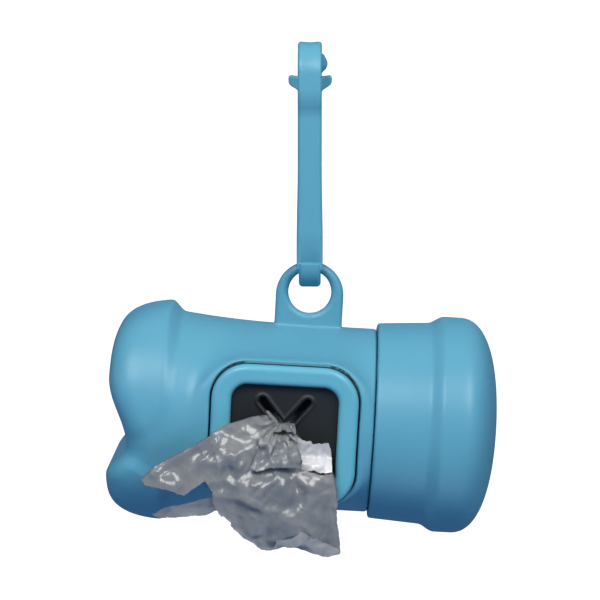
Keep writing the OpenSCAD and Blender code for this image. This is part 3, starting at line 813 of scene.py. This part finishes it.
FRONT_CREASES = [
    (0.55, 2.2, [(-3.7, 2.3), (-8.3, -0.2), (-12.8, -3.1), (-17.2, -6.5), (-22.0, -10.4)]),
    (0.45, 1.2, [(-17.5, -3.1), (-21.4, -5.2), (-25.4, -7.8), (-28.7, -10.4)]),
    (0.9, 2.4, [(-4.4, 0.6), (-8.3, -2.7), (-12.2, -5.8), (-15.0, -10.4), (-15.0, -13.1)]),
    (-0.4, 1.6, [(-11.3, -6.9), (-12.7, -9.8), (-12.7, -13.7)]),
    (0.5, 0.9, [(-8.3, -6.4), (-9.4, -8.3), (-9.8, -10.3)]),
    (0.4, 1.0, [(-6.6, -8.6), (-6.0, -10.1), (-6.5, -13.2)]),
    (0.6, 1.1, [(-1.6, -8.3), (-1.3, -9.6), (-3.7, -11.6), (-5.4, -14.3)]),
    (0.6, 1.5, [(-13.9, -14.0), (-10.2, -14.4), (-7.9, -14.7), (-4.3, -16.7), (0.1, -17.3)]),
    (-0.9, 1.8, [(1.0, -10.3), (2.6, -12.3), (3.8, -13.7)]),
    (0.5, 1.2, [(4.0, -8.5), (7.9, -10.5), (11.0, -12.4)]),
    (0.5, 1.6, [(5.4, -12.3), (5.4, -17.4), (4.3, -21.4)]),
    (0.4, 0.8, [(10.7, -15.7), (11.3, -18.0), (11.0, -20.7)]),
    (-0.5, 1.5, [(-3.8, -20.2), (-3.7, -25.1)]),
    (0.4, 1.2, [(-6.1, -24.3), (-2.1, -23.5), (4.0, -21.6)]),
    (-0.3, 1.5, [(-11.1, -20.5), (-7.4, -21.4), (-4.3, -20.5)]),
    (-0.4, 1.5, [(-2.4, -19.0), (1.0, -16.2), (5.4, -14.3)]),
    (0.35, 0.9, [(-13.9, -1.9), (-15.0, -4.4), (-18.6, -7.1)]),
    (0.4, 1.1, [(-9.4, -4.5), (-10.5, -6.9), (-11.3, -8.1)]),
]
POUCH = [
    (-1.7, 0.4), (0.3, -0.3), (1.9, 0.4), (2.6, -0.2), (2.9, -3.7), (4.0, -7.8), (1.0, -7.8),
    (-2.6, -7.5), (-5.7, -8.4), (-7.1, -7.7), (-6.0, -5.5), (-5.5, -3.5), (-4.8, -0.8), (-3.2, 0.4),
]
POUCH_DEPTH = [
    (0, 0, 22.2), (1.5, -2, 25.4), (-1, -3, 26.6), (-4, -4, 27.4), (-2, -8, 29.0), (-6.5, -12.2, 30.4),
    (-3, -11.5, 30.5), (1, -11.8, 30.4), (4, -11.8, 29.6), (3, -6, 28.2),
]
POUCH_CREASES = [
    (0.7, 0.8, [(-2.8, -2.2), (-2.7, -5.4), (-2.3, -6.7)]),
    (0.5, 0.8, [(1.5, -4.2), (1.5, -5.9)]),
    (-0.6, 1.0, [(0.3, -0.3), (-0.2, -3.1), (-0.0, -5.7)]),
    (0.4, 1.0, [(-4.4, -0.9), (-5.5, -4.1), (-6.8, -7.7)]),
    (0.4, 0.7, [(-1.4, -0.2), (-1.6, -2.6)]),
    (0.4, 0.8, [(2.3, 0.1), (2.9, -3.7), (3.9, -7.3)]),
    (-0.4, 0.8, [(-3.8, -0.9), (-4.1, -4.9), (-4.6, -7.7)]),
]
FLAP = [
    (1.4, 0.6), (2.9, -2.0), (4.0, -2.8), (5.9, -2.9), (6.3, -3.6), (9.7, -3.4), (10.2, -5.4),
    (10.5, -7.6), (10.6, -9.3), (8.2, -9.5), (6.5, -8.8), (5.3, -9.2), (4.0, -8.5), (3.6, -6.2),
    (2.7, -4.0), (1.7, -1.5),
]
FLAP_DEPTH = [
    (1.8, -2, 23.6), (3.4, -4.5, 24.0), (6.3, -5, 23.8), (10, -5.5, 23.9), (4, -9, 25.6), (7, -9, 25.6),
    (10.9, -11.5, 26.6), (6.7, -11.8, 26.8),
]
FLAP_CREASES = [
    (-0.5, 0.7, [(4.0, -5.9), (5.9, -3.8)]),
    (0.4, 0.9, [(7.9, -4.3), (8.1, -9.0)]),
    (0.35, 0.8, [(4.8, -6.5), (6.0, -8.5)]),
    (-0.3, 0.8, [(9.3, -4.2), (9.6, -8.5)]),
]
TIP = [
    (-13.9, -14.2), (-16.7, -14.8), (-20.9, -16.0), (-25.2, -16.9), (-28.1, -18.5), (-26.7, -19.4),
    (-21.5, -18.9), (-16.7, -18.5), (-14.6, -17.4), (-12.8, -17.9), (-11.7, -16.4), (-12.5, -14.5),
]
TIP_DEPTH = [
    (-14, -15, 27.2), (-20, -17.5, 27.0), (-27.5, -19.5, 26.8), (-20, -20, 27.6), (-13, -18, 27.4),
]
HEM = [
    (-1.5, -23.3), (1.3, -22.6), (4.0, -21.3), (6.6, -22.6), (9.6, -24.3), (12.1, -25.9), (12.2, -26.9),
    (9.4, -27.3), (5.4, -26.2), (2.6, -25.1), (0.1, -24.9), (-2.1, -25.6),
]
HEM_DEPTH = [
    (4.6, -24, 29.4), (6.4, -23.4, 29.4), (12.3, -26.6, 27.9), (3.2, -26.4, 28.9), (9.6, -27.8, 28.6),
]
LIP = [(-3.9, 3.5), (-3.2, 3.2), (-2.5, 2.4), (-1.2, 0.9), (-1.4, 0.4), (-2.5, 0.6), (-3.2, 2.0)]
LIP_DEPTH = [(0, 0, 21.9), (-3, 2, 21.8)]


def spread(points, depths):
    """Smooth depth between the given ones, nearer ones counting more."""
    known = np.array(depths)
    gap = (points[:, :1] - known[None, :, 0]) ** 2 + (points[:, 1:2] - known[None, :, 1]) ** 2
    weight = 1 / (gap + SPREAD_SOFT) ** SPREAD_POWER
    return (weight * known[None, :, 2]).sum(1) / weight.sum(1)


def triangles(points, edges=(), kind=0):
    """Points, triangles and where each point came from; kind 1 fills only the inside of the edges."""
    found = delaunay_2d_cdt([Vector(p) for p in points.tolist()], list(edges), [], kind, 1e-6)
    return np.array([v[:] for v in found[0]]), [list(f) for f in found[2]], found[3]


def facets(points, spacing, height, rng):
    """Height of each point on flat facets that meet at scattered creases."""
    low, high = points.min(0) - 2 * spacing, points.max(0) + 2 * spacing
    count = ((high - low) / spacing).astype(int) + 1
    cell = np.stack(np.meshgrid(*[np.arange(n) for n in count], indexing="ij"), -1).reshape(-1, 2)
    seeds = low + (cell + rng.uniform(0.1, 0.9, cell.shape)) * spacing
    level = rng.normal(0, height, len(seeds))
    corners, faces, came_from = triangles(seeds)
    level = np.array([level[c[0]] for c in came_from])
    out = np.zeros(len(points))
    for face in faces:
        a, b, c = corners[face]
        m = np.array([b - a, c - a]).T
        if abs(np.linalg.det(m)) < 1e-9:
            continue
        u = (points - a) @ np.linalg.inv(m).T
        inside = (u[:, 0] >= -1e-9) & (u[:, 1] >= -1e-9) & (u.sum(1) <= 1 + 1e-9)
        out[inside] = level[face[0]] + u[inside] @ (level[face[1:]] - level[face[0]])
    return out


def wave(t):
    """A triangle wave of period 1 between -1 and 1."""
    return 4 * np.abs(t - np.floor(t + 0.5)) - 1


def crease(points, line, height, width):
    """Rise of a listed crease: a ridge or valley with a crisp crest that fades at its ends."""
    line = np.array(line, float)
    lengths = np.linalg.norm(np.diff(line, axis=0), axis=1)
    gap, at = np.full(len(points), 1e9), np.zeros(len(points))
    for i, length in enumerate(lengths):
        side = (line[i + 1] - line[i]) / length
        along = np.clip((points - line[i]) @ side, 0, length)
        away = np.linalg.norm(points - line[i] - along[:, None] * side, axis=1)
        closer = away < gap
        gap[closer], at[closer] = away[closer], along[closer] + lengths[:i].sum()
    ends = rise(at, width) * rise(lengths.sum() - at, width)
    crest = np.maximum(1 - np.sqrt(gap ** 2 + (CREST_SHARE * width) ** 2) / width, 0)
    return height * crest * (CREASE_END_SHARE + (1 - CREASE_END_SHARE) * ends)


def pleats(points, reach, height, seed):
    """Pleats that fan out from the slots, broad ones and finer ones, and die away outwards."""
    angle = np.arctan2(points[:, 0], 0.6 - points[:, 1])
    broad = wave(angle * 2.4 + seed * 0.37 + 0.25 * np.sin(reach)) * rise(reach, 2.5) * np.exp(-reach / 5)
    fine = wave(angle * 5.3 + seed) * rise(reach, 2) * np.exp(-reach / 3.5)
    return height * broad + 0.4 * height * fine


def outline_points(outline, step, rng):
    """The outline sampled at even steps, a little ragged between its own points."""
    ring = np.array(outline, float)
    out = []
    for a, b in zip(ring, np.roll(ring, -1, 0)):
        n = max(2, int(np.linalg.norm(b - a) / step))
        side = np.array([b[1] - a[1], a[0] - b[0]]) / np.linalg.norm(b - a)
        for i in range(n):
            t = i / n
            sway = 0.6 * math.sin(2.3 * a[0] + 9 * t) + rng.normal(0, 0.5)
            wobble = FRAY * sway * math.sin(math.pi * t)
            out.append(a + (b - a) * t + side * wobble)
    return np.array(out)


def inside_outline(points, ring):
    """Which points lie inside the ring, by counting the edges to their right."""
    inside = np.zeros(len(points), bool)
    for (ax, az), (bx, bz) in zip(ring, np.roll(ring, -1, 0)):
        crosses = (az > points[:, 1]) != (bz > points[:, 1])
        at = ax + (points[:, 1] - az) * (bx - ax) / (bz - az if bz != az else 1e-9)
        inside ^= crosses & (points[:, 0] < at)
    return inside


def film_net(outline, rng):
    """Points and triangles of a flat sheet: its ragged outline, filled with even staggered rows."""
    step = FILM_STEP * FINE
    ring = outline_points(outline, step, rng)
    low, high = ring.min(0), ring.max(0)
    a, b = np.meshgrid(np.arange(low[0], high[0], step), np.arange(low[1], high[1], step * ROW_SHARE),
                       indexing="ij")
    a = a + step / 2 * (np.arange(a.shape[1]) % 2)[None, :]
    grid = np.stack([a.ravel(), b.ravel()], 1)
    grid = grid[inside_outline(grid, ring)]
    nearest = np.concatenate([np.sqrt(((part[:, None, :] - ring[None, :, :]) ** 2).sum(2).min(1))
                              for part in np.array_split(grid, 8)])
    grid = grid[nearest > 0.5 * step]
    edges = [(i, (i + 1) % len(ring)) for i in range(len(ring))]
    flat, faces, _ = triangles(np.concatenate([ring, grid]), edges, 1)
    return flat, faces


def kept_clear(flat, depth):
    """The depth, pushed out where the film would touch the rubber or the frame."""
    room = plate_form(flat[:, 0], flat[:, 1] + FILM_RISE, OPEN_W - 2 * OFF_SIDE, OPEN_H - 2 * OFF_SIDE,
                      OPEN_CORNER_R)
    on_rubber, on_frame = RUBBER_FRONT + OFF_RUBBER, FRAME_FRONT + OFF_FRAME
    floor = on_rubber + (on_frame - on_rubber) * rise(room + RAMP_W, RAMP_W)
    return smooth_max(depth, floor, RAMP_BLEND)


def film(name, outline, depths, seed, crumple, creases=(), pleat=0.0, back=0.0):
    """A sheet of film by the window. crumple has pairs of spacing and height, back sets it deeper."""
    rng = np.random.default_rng(seed)
    flat, faces = film_net(outline, rng)
    depth = spread(flat, depths) - back
    reach = np.hypot(flat[:, 0], flat[:, 1])
    easing = rise(reach - GATHER_R, GATHER_W) * (1 - WING_CALM * rise(WING_X - flat[:, 0], WING_W))
    shift = np.zeros_like(flat)
    for spacing, height in crumple:
        depth += facets(flat, spacing, height, rng) * easing
        sideways = [facets(flat, spacing, height * SIDE_SHARE, rng) for _ in (0, 1)]
        shift += np.stack(sideways, 1) * easing[:, None]
    for height, width, line in creases:
        depth += crease(flat, line, height, width)
    depth += pleats(flat, reach, pleat, seed)
    depth = kept_clear(flat, depth)
    place = flat + shift
    verts = np.stack([CROSSING.x / MM + place[:, 0], -depth, CROSSING.z / MM + place[:, 1]], 1) * MM
    return new_piece(name, verts.tolist(), faces)


def join(materials, first, *others):
    """Sets the other pieces' meshes into the first one's, each with its own material."""
    verts, faces, slots = [], [], []
    for number, piece in enumerate((first, *others)):
        start = len(verts)
        verts += [v.co[:] for v in piece.data.vertices]
        faces += [[start + i for i in f.vertices] for f in piece.data.polygons]
        slots += [number] * len(piece.data.polygons)
    mesh = bpy.data.meshes.new(first.name)
    mesh.from_pydata(verts, [], faces)
    mesh.polygons.foreach_set("use_smooth", [True] * len(faces))
    for material in materials:
        mesh.materials.append(material)
    mesh.polygons.foreach_set("material_index", slots)
    first.data = mesh
    for piece in others:
        bpy.data.objects.remove(piece)
    return first


def make_bag(skin, smooth_skin, flap_highlight_painted_skin, hem_highlight_painted_skin):
    """The bag as drawn from the slots: layers of one crumpled film, gathered at its neck."""
    rough = [(5.2, 0.42), (2.6, 0.17)]
    calm = [(6.0, 0.35), (2.6, 0.12)]
    front = film("bag_front", FRONT, FRONT_DEPTH, 7, rough, FRONT_CREASES, pleat=0.4)
    tip = film("bag_tip", TIP, TIP_DEPTH, 11, calm)
    # The flap's film is painted highlight: the grey film made near white where light falls on the flap.
    flap = film("bag_flap", FLAP, FLAP_DEPTH, 9, [(2.6, 0.3), (1.3, 0.12)], FLAP_CREASES, pleat=0.2)
    # The hem's film is painted highlight: the grey film made paler where light falls on the hem.
    hem = film("bag_hem", HEM, HEM_DEPTH, 15, [(2.4, 0.3), (1.2, 0.12)])
    lip = film("bag_lip", LIP, LIP_DEPTH, 16, [(1.2, 0.1)])
    front = join((skin, smooth_skin, flap_highlight_painted_skin, hem_highlight_painted_skin, skin), front, tip, flap, hem, lip)
    behind = film("bag_back", FRONT, FRONT_DEPTH, 17, rough, pleat=0.3, back=1.7)
    dress(behind, smooth_skin)
    pouch = film("bag_pouch", POUCH, POUCH_DEPTH, 5, [(2.6, 0.25), (1.2, 0.1)], POUCH_CREASES, pleat=0.8)
    dress(pouch, skin)
    for layer in (front, behind, pouch):
        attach(layer, "drawn_bag")
        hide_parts("dispensed_bag")
    make_neck(skin)


def make_neck(skin):
    """Gathered film from the roll through the slots to the bag."""
    steps, around = 70, 48
    t = np.linspace(0, 1, steps)
    y = -STRAND_START - STRAND_RUN * t
    climb = STRAND_CLIMB * rise(t, 0.5) + STRAND_STEP * rise(t - 0.55, 0.1)
    z = climb - STRAND_DROP - STRAND_SINK * rise(t - 0.65, 0.35)
    narrow = (STRAND_ROLL_R - STRAND_SLOT_R) * rise(t, 0.5)
    size = STRAND_ROLL_R - narrow + (STRAND_BAG_R - STRAND_SLOT_R) * rise(t - 0.68, 0.32)
    phi = np.linspace(0, 2 * math.pi, around, endpoint=False)
    share = phi / (2 * math.pi)
    rows = []
    for i in range(steps):
        fold = wave(7 * share + 0.25 * math.sin(5 * t[i]))
        pleat = 1 + 0.22 * fold + 0.08 * wave(17 * share)
        rows.append(np.stack([size[i] * STRAND_WIDE * pleat * np.cos(phi), np.full(around, y[i]),
                              z[i] + size[i] * STRAND_HIGH * pleat * np.sin(phi)], 1))
    verts = np.concatenate(rows)
    verts[:, 0] += CROSSING.x / MM
    verts[:, 2] += CROSSING.z / MM
    piece = new_piece("bag_neck", (verts * MM).tolist(), tube_faces(steps, around))
    dress(piece, skin)
    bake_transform(piece)


# The roll of bags

def turned(name, profile, around, place, wobble=None):
    """A piece turned round the roll's axis: profile is a closed loop of (along, radius)."""
    phi = np.linspace(0, 2 * math.pi, around, endpoint=False)
    verts = []
    for along, radius in profile:
        r = radius + (wobble(along, radius, phi) if wobble else 0 * phi)
        verts.append(np.stack([np.full(around, along), r * np.cos(phi), r * np.sin(phi)], 1))
    verts = np.concatenate(verts)
    piece = new_piece(name, (verts * MM).tolist(), tube_faces(len(profile), around, closed=True))
    piece.data.transform(place)
    piece.data.set_sharp_from_angle(angle=math.radians(40))
    return piece


def film_wobble(along, radius, phi):
    """Unevenness of the wound film; on the outside it sinks where the loose end lies."""
    if radius < ROLL_R - 0.12:
        return 0.02 * np.sin(3 * phi + radius)
    return 0.07 * np.sin(2 * phi + 0.11 * along) - 0.12 * (phi > 4.4) * (phi < 4.9) - 0.03


def make_roll(wound, board):
    place = HUNG @ Matrix.Translation((0, 0, -ROLL_DROP * MM))
    s0, s1 = -ROLL_S, ROLL_L - ROLL_S
    core_out = CORE_R + CORE_WALL
    inner = core_out + 0.05
    # The wound ends show the edges of the turns, each set back a little by chance
    rng = np.random.default_rng(21)
    layers = np.linspace(inner, ROLL_R - 0.15, 40)
    right = [(s1 - rng.uniform(0.05, 0.45), r) for r in layers]
    left = [(s0 + rng.uniform(0.05, 0.45), r) for r in layers[::-1]]
    outside = [(s1 - 0.2 - (ROLL_L - 0.4) * i / 24, ROLL_R - 0.1) for i in range(25)]
    inside = [(s0 + 0.3, inner), (s1 - 0.3, inner)]
    roll = turned("film_roll_wound", right + outside + left + inside, 120, place, film_wobble)
    dress(roll, wound)
    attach(roll, "roll")
    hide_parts("bag_roll")
    section = [(s0, CORE_R + 0.15), (s0, core_out - 0.1), (s0 + 0.15, core_out), (s1 - 0.15, core_out),
               (s1, core_out - 0.1), (s1, CORE_R + 0.15), (s1 - 0.15, CORE_R), (s0 + 0.15, CORE_R)]
    core = turned("core_tube", section, 96, place)
    dress(core, board)
    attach(core, "roll")
    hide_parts("roll_core")


# Stage, lights and camera, in metres

def area_light(name, place, aim, size, power, colour=(1, 1, 1)):
    lamp = bpy.data.lights.new(name, "AREA")
    lamp.shape = "RECTANGLE"
    lamp.size, lamp.size_y = size
    lamp.energy = power
    lamp.color = colour
    holder = bpy.data.objects.new(name, lamp)
    holder.location = place
    holder.rotation_euler = (Vector(aim) - Vector(place)).to_track_quat("-Z", "Y").to_euler()
    bpy.context.scene.collection.objects.link(holder)
    return holder


def make_stage():
    """A pale round floor that sweeps up into a wall all round, seen by the camera only."""
    floor_z, floor_r, bend_r, wall_top, around = -0.32, 0.9, 0.5, 2.5, 64
    bend = np.linspace(0, math.pi / 2, 16)
    profile = [(floor_r + bend_r * math.sin(t), floor_z + bend_r * (1 - math.cos(t))) for t in bend]
    profile += [(floor_r + bend_r, wall_top)]
    verts = [(r * math.cos(t), r * math.sin(t), z) for r, z in profile
             for t in np.linspace(0, 2 * math.pi, around, endpoint=False)]
    faces = [tuple(range(around))] + tube_faces(len(profile), around)
    sweep = new_piece("sweep", verts, faces, smooth=False)
    material, _, shader = new_material("pale_sweep")
    shader.inputs["Base Color"].default_value = (0.9, 0.9, 0.9, 1)
    shader.inputs["Roughness"].default_value = 0.9
    shader.inputs["Emission Color"].default_value = (1, 1, 1, 1)
    shader.inputs["Emission Strength"].default_value = 1.0
    dress(sweep, material)
    sweep.visible_diffuse = False
    sweep.visible_glossy = False
    sweep.visible_transmission = False
    sweep.visible_shadow = False


def make_lights():
    world = bpy.data.worlds.new("studio")
    bpy.context.scene.world = world
    world.use_nodes = True
    background = world.node_tree.nodes["Background"]
    background.inputs["Color"].default_value = (0.36, 0.52, 1.0, 1)
    background.inputs["Strength"].default_value = 0.22
    middle, sky = (0, 0, -0.07), (0.55, 0.70, 1.0)
    area_light("key", (-0.18, -0.40, 0.34), middle, (0.30, 0.24), 2.1, (1.0, 0.98, 0.93))
    area_light("key_right", (0.28, -0.35, 0.28), middle, (0.24, 0.24), 1.7, (1.0, 0.98, 0.95))
    area_light("fill_left", (-0.46, -0.2, 0.02), middle, (0.2, 0.34), 0.12, sky)
    area_light("under", (0.05, -0.30, -0.45), middle, (0.4, 0.3), 0.4, sky)
    area_light("top", (0, 0.05, 0.5), middle, (0.4, 0.3), 0.12)
    back = area_light("back", (0.05, 0.6, -0.05), middle, (0.5, 0.4), 1.7)
    back.visible_glossy = False


# The photo's view, in degrees, and the width that it shows at the aim
CAMERA_AZIMUTH = 0.75
CAMERA_ELEVATION = 8.6
CAMERA_DISTANCE = 0.45
CAMERA_AIM = (-0.0022, 0, -0.05479)
CAMERA_WIDTH = 0.1348
SENSOR_MM = 36


def make_camera():
    lens = bpy.data.cameras.new("camera")
    lens.sensor_width = SENSOR_MM
    lens.lens = SENSOR_MM * CAMERA_DISTANCE / CAMERA_WIDTH
    lens.clip_start, lens.clip_end = 0.01, 60
    holder = bpy.data.objects.new("camera", lens)
    a, e = math.radians(CAMERA_AZIMUTH), math.radians(CAMERA_ELEVATION)
    back = Vector((math.sin(a) * math.cos(e), -math.cos(a) * math.cos(e), math.sin(e)))
    holder.location = Vector(CAMERA_AIM) + back * CAMERA_DISTANCE
    holder.rotation_euler = (-back).to_track_quat("-Z", "Y").to_euler()
    bpy.context.scene.collection.objects.link(holder)
    bpy.context.scene.camera = holder
    view = bpy.context.scene.view_settings
    view.view_transform, view.look = "Standard", "None"


make_camera()
blue_body = plastic("blue_plastic", (0.122, 0.405, 0.53), (0.112, 0.385, 0.52), 0.38)
blue_bezel = plastic("blue_frame_plastic", (0.145, 0.50, 0.62), (0.135, 0.48, 0.61), 0.32)
black = rubber("black_rubber_skin")
make_body(blue_body)
make_cap(blue_body)
make_window(blue_bezel, black)
make_hook(blue_body)
# The near white film for the flap and the paler film for the hem are lit copies of the grey film: painted
# highlight.
make_bag(film_skin("bag_film_grey", (0.29, 0.295, 0.285), (0.20, 0.22, 0.23), 0.95, 0.22),
         film_skin("bag_film_smooth", (0.21, 0.23, 0.245), (0.17, 0.21, 0.26), 0.97, 0.22),
         film_skin("bag_film_flap_painted_highlight", (0.82, 0.82, 0.81), (0.46, 0.47, 0.48), 0.96, 0.2),
         film_skin("bag_film_hem_painted_highlight", (0.42, 0.425, 0.42), (0.31, 0.32, 0.325), 0.95, 0.24))
make_roll(film_skin("wound_film", (0.26, 0.28, 0.29), (0.20, 0.22, 0.23), 1.0, 0.4),
          cardboard("core_board"))
make_stage()
make_lights()
